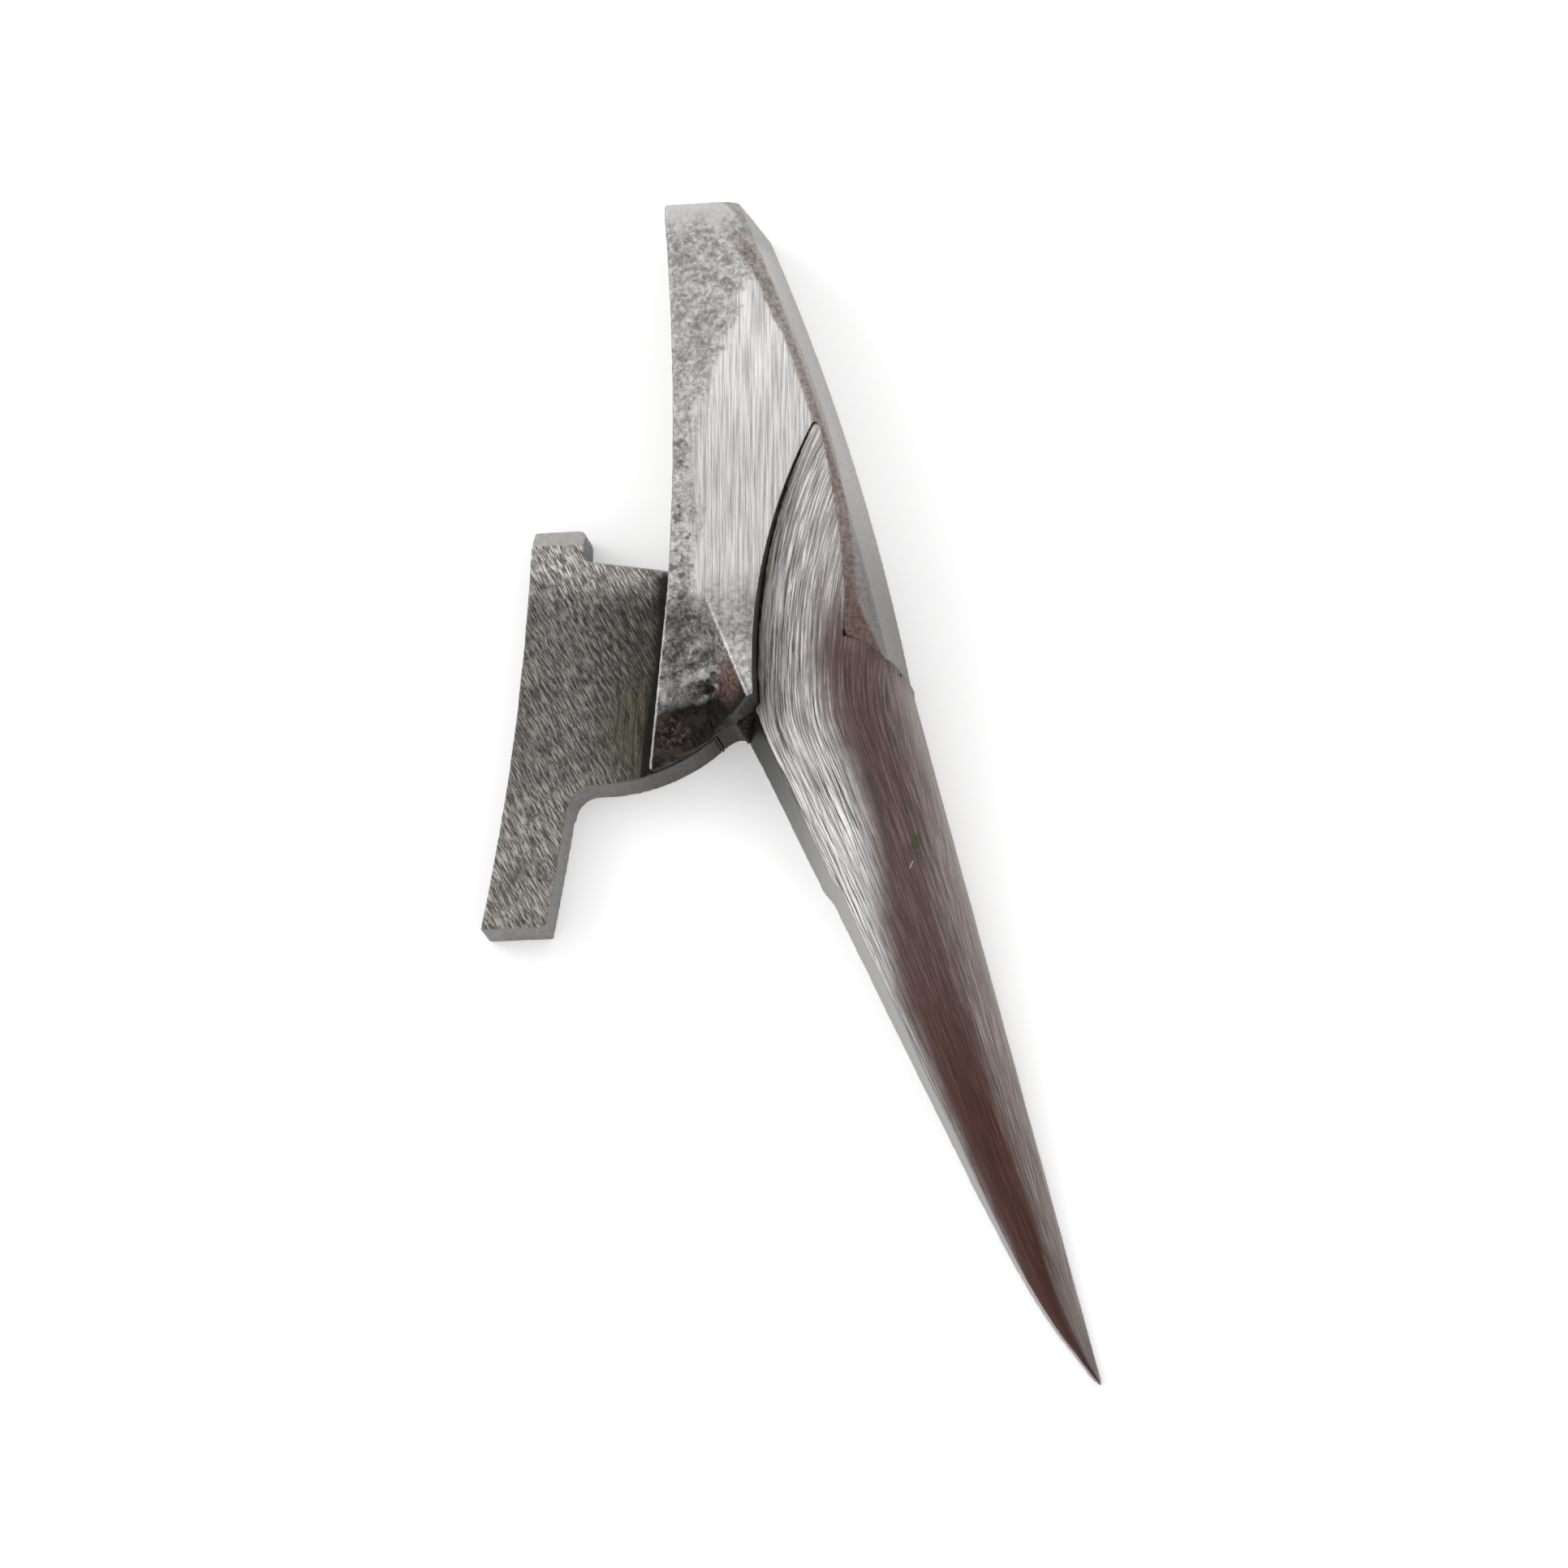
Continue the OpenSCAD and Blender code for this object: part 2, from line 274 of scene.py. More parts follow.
def build_beak():
    piece = forged_copy("beak", "beak_forging", rounding=6, worn=soft_blade)
    push(piece, "kink", below_kink, "X", 0.33)
    # the faces that braze joins close their gap at the surface
    push(piece, "joined_left", beside_plunge, "X", -0.10)
    push(piece, "joined_right", beside_crest, "X", 0.28)
    push(piece, "joined_cheek", beside_cheek, "Y", 0.48)
    rough_skin(piece, "beak_unevenness", 4.0, 0.08, soft_blade)
    lay_flow(piece)
    return piece


def blade_width(y):
    """Grows fast behind the point and evenly from there to the root."""
    run = y - TIP_Y
    share = (BLADE_W - BELLY - POINT_W) / (ROOT_Y - TIP_Y)
    return POINT_W + BELLY * (1 - math.exp(-max(run, 0) / BELLY_RUN)) + share * run


def blade_left(y):
    """Left edge of the blade."""
    return CHEEK_X + LEAN * (CHEEK_Y - y) - blade_width(y)


def lay_flow(piece):
    """Stores where each point lies across and along the blade, for its grinding marks.

    Across is 0 at the left edge and 1 at the spine, so lines of equal across run
    together at the point, and around the plunge arc at the root, as marks of
    grinding do."""
    flow = piece.data.attributes.new("flow", "FLOAT_VECTOR", "POINT")
    for vertex in piece.data.vertices:
        x, y, z = local(vertex.co)
        below_root = min(y, ROOT_Y)
        by_blade = (x - blade_left(below_root)) / blade_width(below_root)
        by_blade += LEAN * (y - below_root) / BLADE_W
        by_arc = (from_plunge(x, y) + ROOT_MARGIN) / BLADE_W
        blend = smoothstep(y, -2.0, 9.0)
        flow.data[vertex.index].vector = (by_blade * (1 - blend) + by_arc * blend, y, by_blade)


# ---------------------------------------------------------------- materials

class Value:
    """An output of a finish's nodes, with arithmetic that adds Math nodes."""

    def __init__(self, finish, socket):
        self.finish = finish
        self.socket = socket

    def math(self, operation, *others):
        return self.finish.math(operation, self, *others)

    def __add__(self, other):
        return self.math("ADD", other)

    def __radd__(self, other):
        return self.math("ADD", other)

    def __sub__(self, other):
        return self.math("SUBTRACT", other)

    def __rsub__(self, other):
        return self.finish.math("SUBTRACT", other, self)

    def __mul__(self, other):
        return self.math("MULTIPLY", other)

    def __rmul__(self, other):
        return self.math("MULTIPLY", other)

    def __truediv__(self, other):
        return self.math("DIVIDE", other)

    def __pow__(self, other):
        return self.math("POWER", other)


class Finish:
    """A material made of nodes, on object coordinates in millimetres from the corner."""

    def __init__(self, name):
        self.material = bpy.data.materials.new(name)
        self.material.use_nodes = True
        self.tree = self.material.node_tree
        self.tree.nodes.clear()
        place = self.node("ShaderNodeTexCoord", output="Object")
        scaled = self.node("ShaderNodeVectorMath", {"operation": "SCALE"},
                           {"Vector": place, "Scale": 1 / MM})
        self.place = self.node("ShaderNodeVectorMath", {"operation": "SUBTRACT"},
                               {0: scaled, 1: tuple(CORNER)})
        self.x = self.part(self.place, "X")
        self.y = self.part(self.place, "Y")
        self.z = self.part(self.place, "Z")
        geometry = self.node("ShaderNodeNewGeometry", output="Normal")
        self.normal_x = self.part(geometry, "X")
        self.normal_y = self.part(geometry, "Y")
        self.normal_z = self.part(geometry, "Z")
        self.edge = self.node("ShaderNodeNewGeometry", output="Pointiness")

    def node(self, kind, settings=None, inputs=None, output=0):
        """Adds a node: its settings are set first, then its sockets' values and links."""
        node = self.tree.nodes.new(kind)
        for name, value in (settings or {}).items():
            setattr(node, name, value)
        for name, value in (inputs or {}).items():
            if isinstance(value, Value):
                self.tree.links.new(value.socket, node.inputs[name])
            else:
                node.inputs[name].default_value = value
        return None if output is None else Value(self, node.outputs[output])

    def math(self, operation, *values):
        return self.node("ShaderNodeMath", {"operation": operation}, dict(enumerate(values)))

    def part(self, vector, axis):
        return self.node("ShaderNodeSeparateXYZ", None, {0: vector}, axis)

    def vector(self, x, y):
        return self.node("ShaderNodeCombineXYZ", None, {0: x, 1: y})

    def step(self, value, low, high):
        """0 below low, 1 above high, smooth between; high may be the lower one."""
        return self.node("ShaderNodeMapRange", {"interpolation_type": "SMOOTHSTEP"},
                         {"Value": value, "From Min": low, "From Max": high})

    def mix(self, factor, first, second):
        """The first colour where factor is 0 and the second where it is 1."""
        def colour(value):
            return value if isinstance(value, Value) else (*value, 1.0)
        return self.node("ShaderNodeMix", {"data_type": "RGBA"},
                         {0: factor, 6: colour(first), 7: colour(second)}, 2)

    def noise(self, vector, scale, detail=3.0, rough=0.6):
        return self.node("ShaderNodeTexNoise", None,
                         {"Vector": vector, "Scale": scale, "Detail": detail,
                          "Roughness": rough}, "Fac")

    def wobble(self, scale):
        """Slow unevenness between about -0.5 and 0.5."""
        return self.noise(self.place, scale) - 0.5

    def grain(self, scale, low=0.35, high=0.65, detail=3.0, rough=0.6):
        """Spotty unevenness between 0 and 1."""
        return self.step(self.noise(self.place, scale, detail, rough), low, high)

    def marks(self, across, along, fine, length):
        """Straight grinding marks: fine lines across, long ones along."""
        return self.noise(self.vector(across * fine, along / length), 1.0, 4.0, 0.65)

    def turned(self, degrees):
        """Across and along coordinates for marks that lean by an angle from the Y axis."""
        c = math.cos(math.radians(degrees))
        s = math.sin(math.radians(degrees))
        return self.x * c + self.y * s, self.y * c - self.x * s

    def disc(self, x, y, radius, soft, stretch=1.0):
        """A round patch, 1 inside, or an oval one that is stretched along the tool."""
        dx = self.x - x
        dy = (self.y - y) / stretch
        return self.step((dx * dx + dy * dy) ** 0.5, radius + soft, radius - soft)

    def ring(self, centre):
        """Distance from a vertical axis."""
        dx = self.x - centre[0]
        dy = self.y - centre[1]
        return (dx * dx + dy * dy) ** 0.5

    def stroke(self, start, end, width, soft):
        """A straight line on the surface, 1 on it and 0 beside it and beyond its ends."""
        run = Vector(end) - Vector(start)
        way = run.normalized()
        along = (self.x - start[0]) * way.x + (self.y - start[1]) * way.y
        across = ((self.y - start[1]) * way.x - (self.x - start[0]) * way.y).math("ABSOLUTE")
        ends = self.step(along, -soft, soft) * self.step(along, run.length + soft, run.length - soft)
        return self.step(across, width + soft, width - soft) * ends

    def tint(self, colour, amount):
        """A colour made darker or lighter."""
        return self.node("ShaderNodeVectorMath", {"operation": "SCALE"},
                         {"Vector": colour, "Scale": amount})

    def between(self, factor, low, high):
        """A number that is low where factor is 0 and high where it is 1."""
        return low + (high - low) * factor

    def finish(self, colour, roughness, height, depth, metallic=0.75):
        """Ends the material in a steel shader, with height in millimetres times depth."""
        bump = self.node("ShaderNodeBump", None,
                         {"Strength": 1.0, "Distance": depth * MM, "Height": height})
        shader = self.node("ShaderNodeBsdfPrincipled", None,
                           {"Base Color": colour, "Roughness": roughness, "Metallic": metallic,
                            "Normal": bump})
        self.node("ShaderNodeOutputMaterial", None, {"Surface": shader}, None)
        return self.material


class HeelSteel(Finish):
    """Cast skin, ground face, dark scoop and brown bevel of the heel block."""

    def __init__(self):
        super().__init__("heel_steel")
        self.waves = self.wobble(0.5)
        self.skin = self.grain(2.6, 0.34, 0.66, rough=0.7)
        self.mottle = self.grain(0.8, detail=4.0, rough=0.65)
        self.specks = self.grain(1.5, 0.55, 0.66, detail=2.0)
        self.hairs = self.marks(self.x, self.y, 13.0, 5.0)
        self.ridge = ((RIDGE_TOP[0] - self.x) * RIDGE_NORMAL[0]
                      + (RIDGE_TOP[1] - self.y) * RIDGE_NORMAL[1])
        self.over_crest = self.ring(CREST_CENTRE) - CREST_R
        widening = (self.y - CAST_FROM) / CAST_RUN
        cast_edge = CAST_W + CAST_SPREAD * widening.math("MINIMUM", 1.3).math("MAXIMUM", 0.0)
        ragged = self.x - cast_edge + self.waves * 4.0 + (self.skin - 0.5) * 0.5
        self.in_cast = self.step(ragged, 0.7, -0.7)
        self.in_scoop = (self.step(self.ridge, -0.1, 0.2)
                         * self.step(self.y + self.waves * 2.5, 15.0, 12.6))

    def cast_skin(self):
        """More pits low down, smooth and light at the top end."""
        low_down = self.step(self.y, 31, 24)
        light = self.between(self.skin * 0.65 + self.mottle * 0.35, 0.50, 1.52)
        cast = self.tint(self.mix(low_down, (0.44, 0.43, 0.428), (0.46, 0.45, 0.442)), light)
        pits = self.specks * self.between(low_down, 0.25, 0.8)
        cast = self.mix(pits, cast, (0.11, 0.105, 0.10))
        top_end = self.step(self.y + self.waves * 3.0 + self.skin, 44.4, 46.8)
        return self.mix(top_end * 0.85, cast, (0.62, 0.61, 0.605))

    def ground_face(self):
        """Bright, with marks that run along the tool."""
        lines = self.marks(self.x, self.y, 5.0, 9.0)
        light = self.step(lines * 0.45 + self.hairs * 0.55, 0.40, 0.58)
        tone = self.mix(self.step(self.y, 24, 38), (0.50, 0.492, 0.488), (0.60, 0.59, 0.585))
        return self.tint(tone, self.between(light, 0.62, 1.34))

    def scoop(self, colour):
        """Dark and lumpy between the ridge and the foot, with a facet on the other side."""
        light = self.between(self.skin * 0.45 + self.mottle * 0.55, 0.25, 1.95)
        tone = self.mix(self.step(self.y, 13, 6), (0.20, 0.193, 0.183), (0.27, 0.265, 0.257))
        scoop = self.mix(self.specks * 0.7, self.tint(tone, light), (0.045, 0.043, 0.040))
        colour = self.mix(self.in_scoop, colour, scoop)
        facet = self.step(self.ridge, 0.1, -0.2) * self.step(self.y + self.waves * 4.0, 17.0, 12.0)
        light = self.between(self.skin * 0.6 + self.mottle * 0.4, 0.30, 1.5)
        tone = self.mix(self.step(self.y, 11, 6), (0.29, 0.283, 0.278), (0.52, 0.51, 0.50))
        return self.mix(facet * 0.9, colour, self.tint(tone, light))

    def crotch(self, colour):
        """A painted highlight on the lip and a dark crack, over a hollow painted near black as a
        sooty stain and painted shade, with red, pink and coppery spots, the coppery one painted
        bright as its highlight, and a painted glint along the ridge.
        """
        # painted highlight: the light stroke along the lip
        lip = self.stroke((-0.8, 6.0), (3.4, 8.9), 0.45, 0.7) * self.between(self.mottle, 0.2, 1.0)
        colour = self.mix(lip * 0.8, colour, (0.66, 0.65, 0.64))
        crack = self.stroke((-0.9, 7.6), (3.0, 9.3), 0.04, 0.35) * self.step(self.waves, -0.14, 0.04)
        colour = self.mix(crack * 0.9, colour, (0.035, 0.03, 0.026))
        # painted shade and a sooty stain: the hollow of the crotch is painted near black
        hollow = self.step(self.y - 0.33 * self.x + self.waves * 1.2, 5.9, 4.9)
        hollow = hollow * self.step(self.ridge, -0.6, 0.2) * self.step(self.y, 9, 8)
        dusty = self.step(self.x, 3.4, 0.0) * self.mottle
        painted_shade = self.mix(dusty, (0.007, 0.005, 0.004), (0.050, 0.038, 0.032))
        colour = self.mix(hollow * 0.97, colour, painted_shade)
        red = self.disc(5.0, 7.1, 1.2, 0.7, 1.3) * self.step(self.ridge, -0.25, 0.05)
        red_tone = self.mix(self.skin, (0.075, 0.045, 0.039), (0.24, 0.145, 0.125))
        colour = self.mix(red * 0.9, colour, red_tone)
        pink = self.disc(0.0, 3.4, 1.1, 0.8) * self.step(self.skin, 0.4, 0.9)
        colour = self.mix(pink * 0.45, colour, (0.26, 0.17, 0.15))
        # a coppery spot of braze, painted bright as its highlight
        copper_and_highlight = self.disc(3.55, 6.75, 0.26, 0.16, 0.7)
        colour = self.mix(copper_and_highlight, colour, (0.78, 0.42, 0.28))
        glint = self.stroke(RIDGE_TOP, (7.0, 4.3), 0.06, 0.16) * self.step(self.y, 14.5, 8.5)
        return self.mix(glint * self.between(self.skin, 0.5, 1.0), colour, (0.86, 0.85, 0.84))

    def spine_side(self, colour):
        """A brown band on the bevel along the crest, then the grey side."""
        over = self.over_crest + (HEEL_T - self.z) * DOWN_THE_SIDE
        width = 0.95 + ((BEVEL_WIDENS_Y - self.y) * BEVEL_SLOPE).math("MAXIMUM", 0.0)
        brown = self.mix(self.step(self.y, 40, 24), (0.31, 0.283, 0.264), (0.215, 0.172, 0.158))
        brown = self.mix(self.step(self.y, 21, 11), brown, (0.12, 0.078, 0.069))
        brown = self.tint(brown, self.between(self.skin, 0.70, 1.30))
        spots = self.step(self.y, 30, 44) * self.specks * 0.8
        brown = self.mix(spots, brown, (0.16, 0.13, 0.115))
        bevel = self.step(over + self.waves * 0.7, -0.55, -0.2)
        bevel = bevel * self.step(self.y + self.waves * 3.0, 46.0, 42.5)
        colour = self.mix(bevel, colour, brown)
        grey = self.mix(self.step(self.y, 27, 12), (0.38, 0.37, 0.362), (0.185, 0.177, 0.172))
        grey = self.tint(grey, self.between(self.skin, 0.85, 1.15))
        side = self.step(over - width + self.waves * 0.3, -0.2, 0.2)
        return self.mix(side, colour, grey)

    def walls(self, colour):
        """Painted shadow on the pocket wall, painted shade and a painted sheen under the crotch, grey
        left side, and a painted highlight along its edge.
        """
        # painted shadow on the wall of the pocket beside the plunge arc
        plunge = (self.ring(PLUNGE_CENTRE) - PLUNGE_R).math("ABSOLUTE")
        pocket = self.step(plunge, 0.4, 0.2) * self.step(self.normal_z, 0.75, 0.45)
        pocket = pocket * self.step(self.over_crest, 0.1, -0.1)
        colour = self.mix(pocket * 0.95, colour, (0.035, 0.031, 0.024))
        from_left = self.x + FOOT_SPREAD * (1 - self.y / SCOOP_H).math("MAXIMUM", 0.0)
        left_side = self.step(self.normal_x, -0.5, -0.8) * self.step(from_left, 0.9, 0.6)
        left_tone = self.mix(self.skin, (0.3, 0.29, 0.28), (0.42, 0.41, 0.40))
        colour = self.mix(left_side, colour, left_tone)
        # painted shade on the underside in the crotch, with a painted grey sheen on its right part
        under = self.step(self.normal_y, -0.35, -0.7) * self.step(self.y, 9, 8)
        sheen = self.mix(self.step(self.x, 4.2, 5.4), (0.018, 0.015, 0.012), (0.075, 0.072, 0.066))
        colour = self.mix(under * self.step(self.x, 1.0, 3.0), colour, sheen)
        # painted highlight along the left edge
        rim = self.step(from_left + self.waves * 0.3, 0.28, 0.12) * self.step(self.normal_z, 0.1, 0.3)
        rim = rim * self.step(self.y + self.waves * 3.0, 16, 11) * self.between(self.skin, 0.6, 1.0)
        return self.mix(rim * 0.9, colour, (0.80, 0.79, 0.78))


def heel_finish():
    f = HeelSteel()
    colour = f.mix(f.in_cast, f.ground_face(), f.cast_skin())
    colour = f.walls(f.spine_side(f.crotch(f.scoop(colour))))
    height = (f.skin + f.mottle * 0.7) * f.in_cast + f.hairs * (1 - f.in_cast) * 0.5
    height = height + f.skin * f.in_scoop
    return f.finish(colour, 0.42 + 0.18 * f.in_cast, height, 0.07)


class BeakSteel(Finish):
    """Ground marks that follow the blade, with a brown band painted as the dark reflection along the
    crest.
    """

    def __init__(self):
        super().__init__("beak_steel")
        flow = self.node("ShaderNodeAttribute", {"attribute_name": "flow"}, None, "Vector")
        self.across = self.part(flow, "X")
        self.along = self.part(flow, "Y")
        self.by_blade = self.part(flow, "Z")
        self.waves = self.wobble(0.35)
        streaks = self.marks(self.across, self.along, 58.0, 9.0)
        self.hairs = self.marks(self.across, self.along, 130.0, 4.0)
        self.dashes = self.marks(self.across + 3.0, self.along, 66.0, 6.0)
        # the spine's side is too steep for marks spaced across the blade: there, by height
        steep = self.step(self.normal_x, 0.70, 0.90)
        flat_marks = self.step(streaks * 0.4 + self.hairs * 0.6, 0.42, 0.57)
        steep_marks = self.step(self.marks(self.z, self.along, 7.0, 5.0), 0.40, 0.60)
        self.fine = flat_marks * (1 - steep) + steep_marks * steep

    def bright_band(self):
        """Left part of the blade, with dark streaks."""
        bright = self.mix(self.step(self.along, 4, -6), (0.56, 0.55, 0.54), (0.66, 0.65, 0.65))
        bright = self.mix(self.step(self.along, -9, -22), bright, (0.47, 0.46, 0.455))
        bright = self.tint(bright, self.between(self.fine, 0.40, 1.50))
        return self.mix(self.step(self.dashes, 0.47, 0.39) * 0.9, bright, (0.07, 0.066, 0.064))

    def root(self):
        """The part inside the pocket, with painted shade and an olive tone beside the plunge arc."""
        root = self.mix(self.step(self.along, 12, 24), (0.46, 0.445, 0.432), (0.55, 0.54, 0.53))
        root = self.tint(root, self.between(self.fine, 0.42, 1.50))
        root = self.mix(self.step(self.dashes, 0.46, 0.38) * 0.85, root, (0.08, 0.075, 0.07))
        # painted shade beside the plunge arc, where the heel block stands higher
        near_arc = self.step(self.across, 0.30, 0.14) * self.step(self.along, 1.0, 5.0)
        near_arc = near_arc * self.step(self.along, 24, 17)
        root = self.mix(near_arc * 0.35, root, self.tint(root, 0.45))
        olive = self.step(self.across, 0.18, 0.12) * self.step(self.along, 1.5, 4.5)
        olive = olive * self.step(self.along, 26, 12)
        olive_tone = self.tint((0.190, 0.175, 0.135), self.between(self.fine, 0.6, 1.4))
        return self.mix(olive * 0.75, root, olive_tone)

    def brown_start(self):
        """How far across the blade the brown band starts: further left down the blade."""
        upper = (self.along - 8) * 0.017 - self.step(self.along, -8, 3) * 0.06
        lower = self.step(self.along, -2, -21) * 0.31 + self.step(self.along, -21, -38) * 0.07
        lower = lower + self.step(self.along, -38, -43) * 0.1
        return 0.60 + upper.math("MAXIMUM", -0.06) - lower

    def brown_band(self, root):
        """Brown painted as the dark reflection along the crest: redder towards the point, and paling
        into the root.
        """
        brown = self.mix(self.step(self.along, 8, -12), (0.098, 0.064, 0.058), (0.118, 0.078, 0.070))
        brown = self.mix(self.step(self.along, -10, -30), brown, (0.080, 0.034, 0.029))
        brown = self.tint(brown, self.between(self.fine, 0.62, 1.42))
        pale = self.mix(0.4, root, (0.33, 0.30, 0.285))
        return self.mix(self.step(self.along, 8, 18), brown, pale)

    def spine_band(self, colour):
        """Grey to beige beside the spine: painted shade on the slope that falls to the spine."""
        beige = self.mix(self.step(self.along, 0, -14), (0.212, 0.178, 0.167), (0.205, 0.168, 0.155))
        beige = self.tint(beige, self.between(self.fine, 0.58, 1.46))
        limit = 0.93 - 0.13 * self.step(self.along, -1, -14) - 0.06 * self.step(self.along, -14, -33)
        limit = limit - 0.14 * self.step(self.along, -37, -47)
        beyond = self.by_blade - limit + self.waves * 0.08 + (self.hairs - 0.5) * 0.20
        beyond = self.step(beyond, -0.12, 0.12) * self.step(self.along, 9, 5)
        return self.mix(beyond, colour, beige)

    def walls(self, colour, wall):
        """Smooth drafted side on the left, painted near black high up as the shade in the crotch, and
        the flat back.
        """
        side = self.mix(self.step(self.along, -3.0, -12.0), (0.17, 0.166, 0.163), (0.33, 0.325, 0.32))
        # painted shade: near black high up, in the crotch
        side = self.mix(self.step(self.along, 3.0, -5.5), (0.014, 0.013, 0.011), side)
        colour = self.mix(wall, colour, side)
        back = self.step(self.normal_z, -0.7, -0.9)
        return self.mix(back, colour, self.mix(self.fine, (0.30, 0.29, 0.28), (0.42, 0.41, 0.40)))

    def marks_and_glint(self, colour):
        """A green spot with a scratch, and a painted highlight along the left edge."""
        green = self.disc(19.85, -7.0, 0.55, 0.35, 1.6) * self.grain(2.5, 0.36, 0.48, detail=2.0)
        colour = self.mix(green * 0.85, colour, (0.050, 0.060, 0.036))
        scratch = self.stroke((19.3, -9.0), (19.6, -8.4), 0.02, 0.06)
        colour = self.mix(scratch, colour, (0.7, 0.69, 0.67))
        # painted highlight along the left edge
        glint = self.step(self.edge, 0.545, 0.60) * self.step(self.by_blade, 0.25, 0.12)
        glint = glint * self.step(self.along, 4.5, 3.5)
        return self.mix(glint * 0.8, colour, (0.80, 0.79, 0.78))


def beak_finish():
    f = BeakSteel()
    root = f.root()
    colour = f.mix(f.step(f.along, 1, 6), f.bright_band(), root)
    ragged = f.by_blade - f.brown_start() + f.waves * 0.10 + (f.hairs - 0.5) * 0.30
    in_brown = f.step(ragged, -0.14, 0.12)
    colour = f.spine_band(f.mix(in_brown, colour, f.brown_band(root)))
    wall = f.step(f.normal_x, -0.62, -0.80)
    colour = f.marks_and_glint(f.walls(colour, wall))
    height = (f.fine * 0.6 + f.hairs * 0.4) * (1 - wall)
    return f.finish(colour, 0.42 - 0.06 * in_brown, height, 0.05)


class TangSteel(Finish):
    """Flat with slanting scratches and painted shade beside the heel block, and grey walls with
    painted shade towards the crotch.
    """

    def __init__(self):
        super().__init__("tang_steel")
        self.waves = self.wobble(0.22)
        across, along = self.turned(28.0)
        self.hairs = self.marks(across, along, 12.0, 1.1)
        scratches = self.marks(across, along, 5.5, 2.2)
        self.fine = self.step(scratches * 0.4 + self.hairs * 0.6, 0.43, 0.56)
        self.skin = self.grain(2.2)

    def flat_face(self):
        """Painted shade makes it darkest beside the heel block; lighter at the top and down the leg.
        """
        # painted shade: darker towards the heel block
        inward = self.step(self.x + self.waves * 5.0, -10.0, -2.5)
        tone = self.mix(inward, (0.165, 0.155, 0.143), (0.088, 0.082, 0.071))
        top = self.step(self.y + self.waves * 3.0, 14.5, 18.5)
        tone = self.mix(top, tone, (0.37, 0.35, 0.33))
        leg = self.step(self.y + self.waves * 4.0, 3.0, -4.0) * self.step(self.x, -3, -8)
        tone = self.mix(leg, tone, (0.245, 0.23, 0.21))
        colour = self.tint(tone, self.between(self.fine, 0.30, 1.85))
        flecks = self.grain(1.9, 0.58, 0.68, detail=2.0)
        return self.mix(flecks * 0.6, colour, self.tint(colour, 0.35))

    def stains_and_shadow(self, colour):
        """Olive patches and a dark smudge, and a painted shadow in the corner beside the heel block.
        """
        across, along = self.turned(-4.0)
        upright = self.step(self.marks(across, along, 5.0, 3.0), 0.40, 0.60)
        olive = self.mix(upright, (0.035, 0.030, 0.018), (0.165, 0.148, 0.100))
        colour = self.mix(self.disc(-3.2, 4.5, 2.6, 1.6, 1.4) * 0.75, colour, olive)
        smudge = self.stroke((-14.2, -8.8), (-12.4, -5.9), 0.25, 0.5)
        smudge = smudge * self.step(self.hairs, 0.42, 0.55)
        colour = self.mix(smudge * 0.75, colour, (0.065, 0.065, 0.042))
        # painted shadow in the corner beside the heel block
        lower = self.step(self.y, 14, 0)
        painted_shade = self.step(self.x + lower * 1.7, -2.5 + lower * 0.95, -1.25)
        painted_shade = painted_shade * self.step(self.y, 18.6, 17.0)
        return self.mix(painted_shade * 0.95, colour, (0.012, 0.011, 0.008))

    def bevel_and_walls(self, colour, wall):
        """Light bevel of the lug, walls with painted shade that darkens them towards the heel block
        and the crotch, and a painted highlight on the edges.
        """
        bevel = self.step(self.normal_y, 0.35, 0.5) * self.step(self.normal_z, 0.5, 0.7)
        bevel_tone = self.mix(self.fine, (0.42, 0.41, 0.395), (0.48, 0.465, 0.45))
        colour = self.mix(bevel, colour, bevel_tone)
        # painted shade on the walls, darker towards the heel block and the crotch
        tone = self.mix(self.step(self.x, -7.5, -1.0), (0.20, 0.194, 0.190), (0.085, 0.081, 0.075))
        tone = self.mix(self.step(self.x, 0.5, 4.0), tone, (0.030, 0.028, 0.025))
        colour = self.mix(wall, colour, self.tint(tone, self.between(self.skin, 0.85, 1.15)))
        # painted highlight on the edges
        rim = self.step(self.edge, 0.54, 0.61) * self.step(self.normal_z, 0.25, 0.5)
        return self.mix(rim * 0.7, colour, (0.60, 0.59, 0.57))


def tang_finish():
    f = TangSteel()
    wall = f.step(f.normal_z, 0.6, 0.3)
    colour = f.bevel_and_walls(f.stains_and_shadow(f.flat_face()), wall)
    height = (f.fine * 0.6 + f.hairs * 0.4) * (1 - wall) + f.skin * 0.5 * wall
    return f.finish(colour, 0.46 + 0.10 * f.fine, height, 0.05)


def braze_finish():
    f = Finish("braze")
    skin = f.grain(1.8)
    # painted shade: the braze is made near black, like the shade in the crotch where it shows
    colour = f.mix(skin, (0.010, 0.008, 0.006), (0.050, 0.034, 0.024))
    return f.finish(colour, 0.45 + 0.15 * skin, skin, 0.04)


# ---------------------------------------------------------------- assembly

def paint(piece, material):
    piece.data.materials.clear()
    piece.data.materials.append(material)


def dress(piece, material, node):
    """Puts a forged piece in the place of its CAD node."""
    paint(piece, material)
    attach(piece, "root")
    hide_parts(node)


dress(build_heel(), heel_finish(), "heel_block")
dress(build_beak(), beak_finish(), "beak")
dress(build_tang(), tang_finish(), "tang_plate")
braze = braze_finish()
for name in ("tang_braze", "beak_braze"):
    paint(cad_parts[name], braze)


# ---------------------------------------------------------------- stage

FLOOR_W = 6.0
FLOOR_GAP = 0.05 * MM


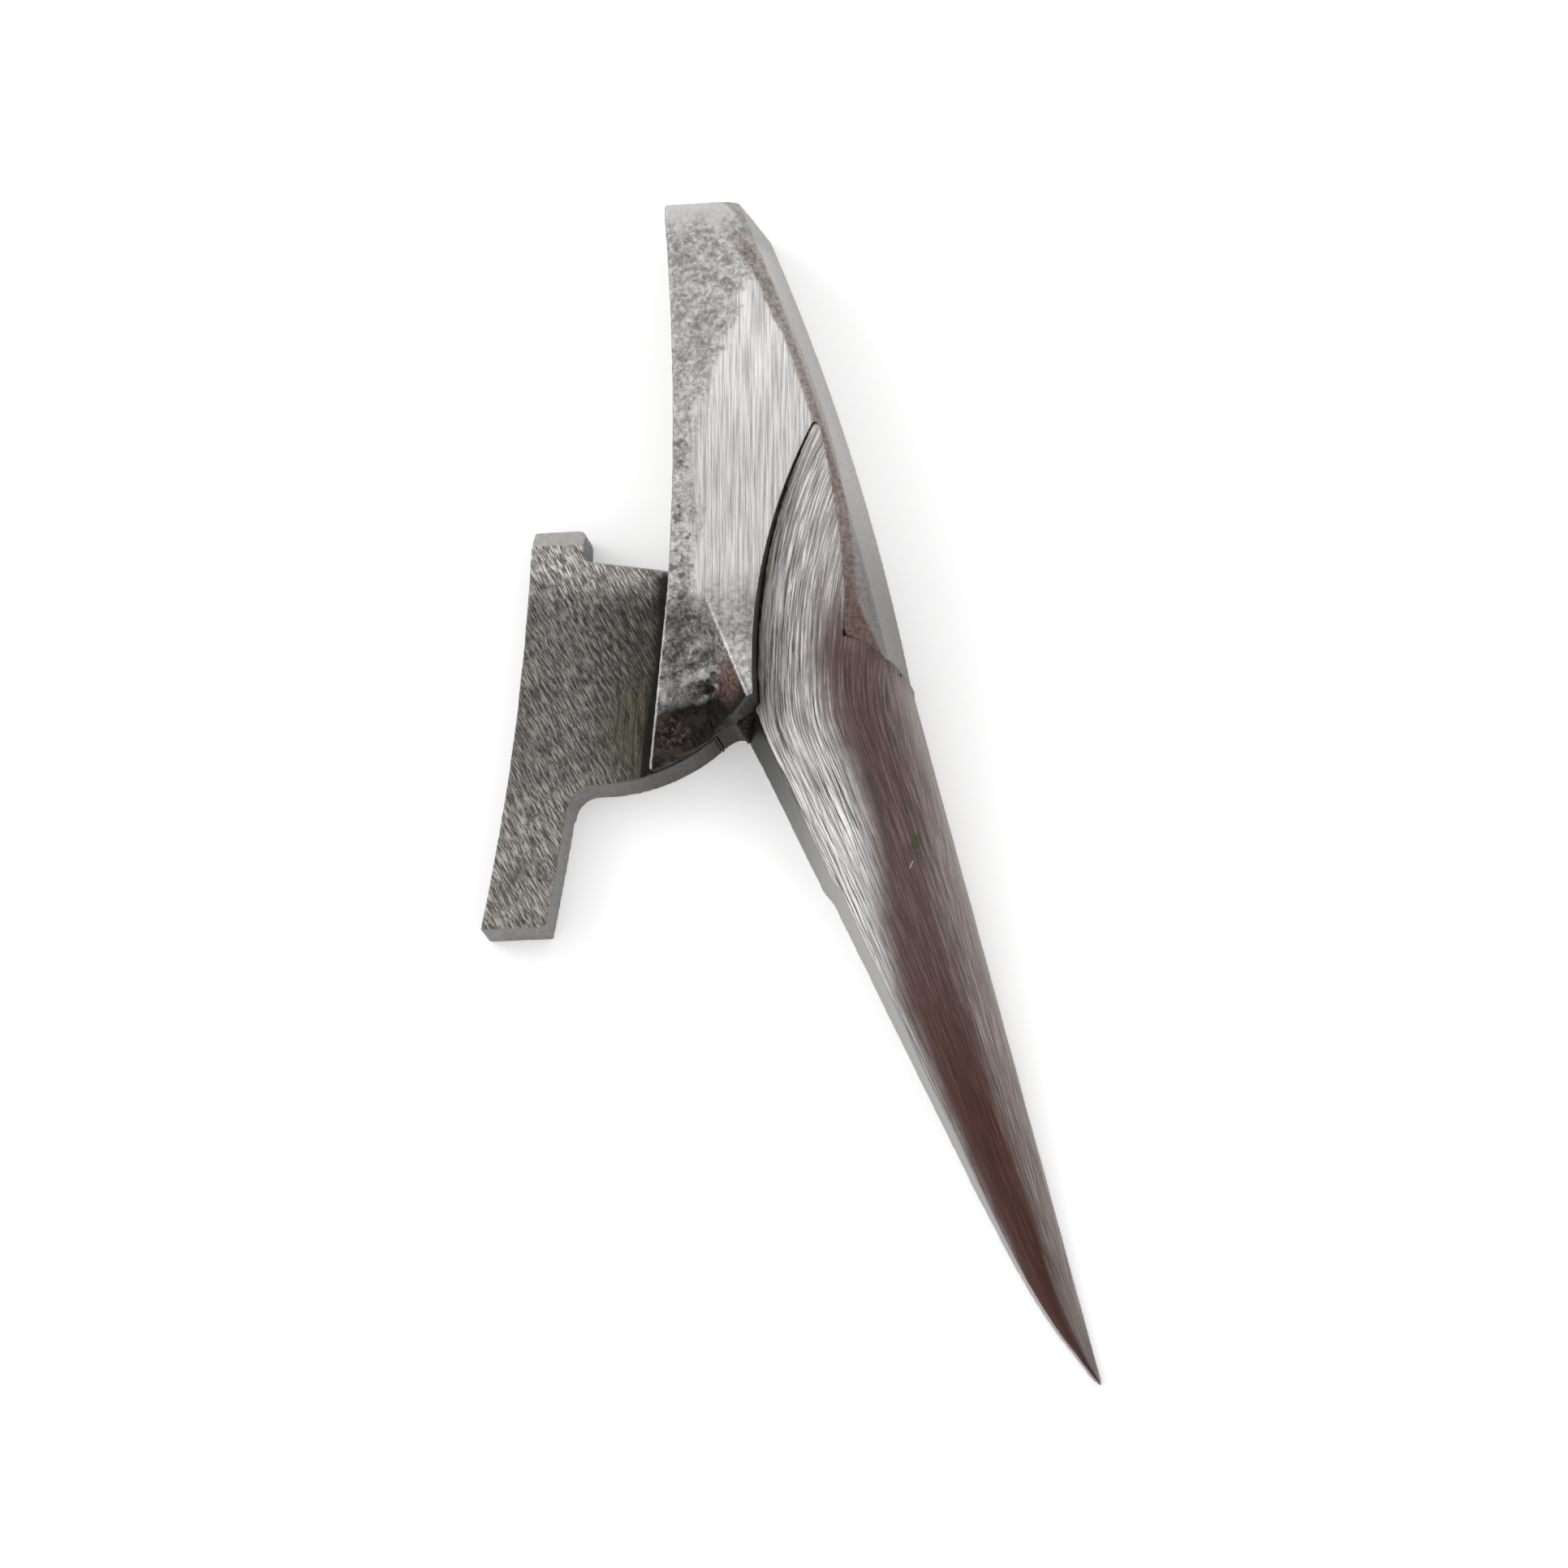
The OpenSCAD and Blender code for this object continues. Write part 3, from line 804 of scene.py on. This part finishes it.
def build_floor():
    bpy.ops.object.select_all(action="DESELECT")
    bpy.ops.mesh.primitive_plane_add(size=FLOOR_W, location=(0, 0, -FLOOR_GAP))
    floor = bpy.context.active_object
    floor.name = "floor"
    f = Finish("pale_floor")
    shader = f.node("ShaderNodeBsdfPrincipled", None,
                    {"Base Color": (0.93, 0.93, 0.93, 1.0), "Roughness": 0.9,
                     "Specular IOR Level": 0.1,
                     "Emission Color": (1.0, 1.0, 1.0, 1.0), "Emission Strength": 0.22})
    f.node("ShaderNodeOutputMaterial", None, {"Surface": shader}, None)
    floor.data.materials.append(f.material)


def area_light(name, size, power, position, target):
    light = bpy.data.lights.new(name, "AREA")
    light.shape = "SQUARE"
    light.size = size
    light.energy = power
    lamp = bpy.data.objects.new(name, light)
    bpy.context.scene.collection.objects.link(lamp)
    lamp.location = position
    away = Vector(position) - Vector(target)
    lamp.rotation_euler = away.to_track_quat("Z", "Y").to_euler()


def build_lights():
    world = bpy.data.worlds.new("studio")
    world.use_nodes = True
    background = world.node_tree.nodes["Background"]
    background.inputs["Color"].default_value = (1, 1, 1, 1)
    background.inputs["Strength"].default_value = 0.88
    bpy.context.scene.world = world
    middle = framed((8, 0, 4))
    area_light("key", 0.6, 3.0, (-0.8, 0.45, 0.6), middle)
    area_light("fill", 0.6, 0.8, (0.7, 0.1, 0.6), middle)


# Camera: the direction and distance at which it stands, the width it sees, its target
VIEW = Vector((0.16, -0.28, 0.9466))
DISTANCE = 0.9
SEEN_W = 126.9 * MM
SENSOR = 36.0
AIM = (8.0, 0.5, 0.0)


def build_camera():
    back = VIEW.normalized()
    right = (-back).cross(Vector((0, 1, 0))).normalized()
    up = right.cross(-back)
    target = framed(AIM)
    camera = bpy.data.cameras.new("camera")
    camera.sensor_width = SENSOR
    camera.lens = SENSOR * DISTANCE / SEEN_W
    holder = bpy.data.objects.new("camera", camera)
    bpy.context.scene.collection.objects.link(holder)
    turn = Matrix((right, up, back)).transposed()
    holder.matrix_world = Matrix.Translation(target + back * DISTANCE) @ turn.to_4x4()
    bpy.context.scene.camera = holder


build_floor()
build_lights()
build_camera()
bpy.context.scene.view_settings.view_transform = "Standard"
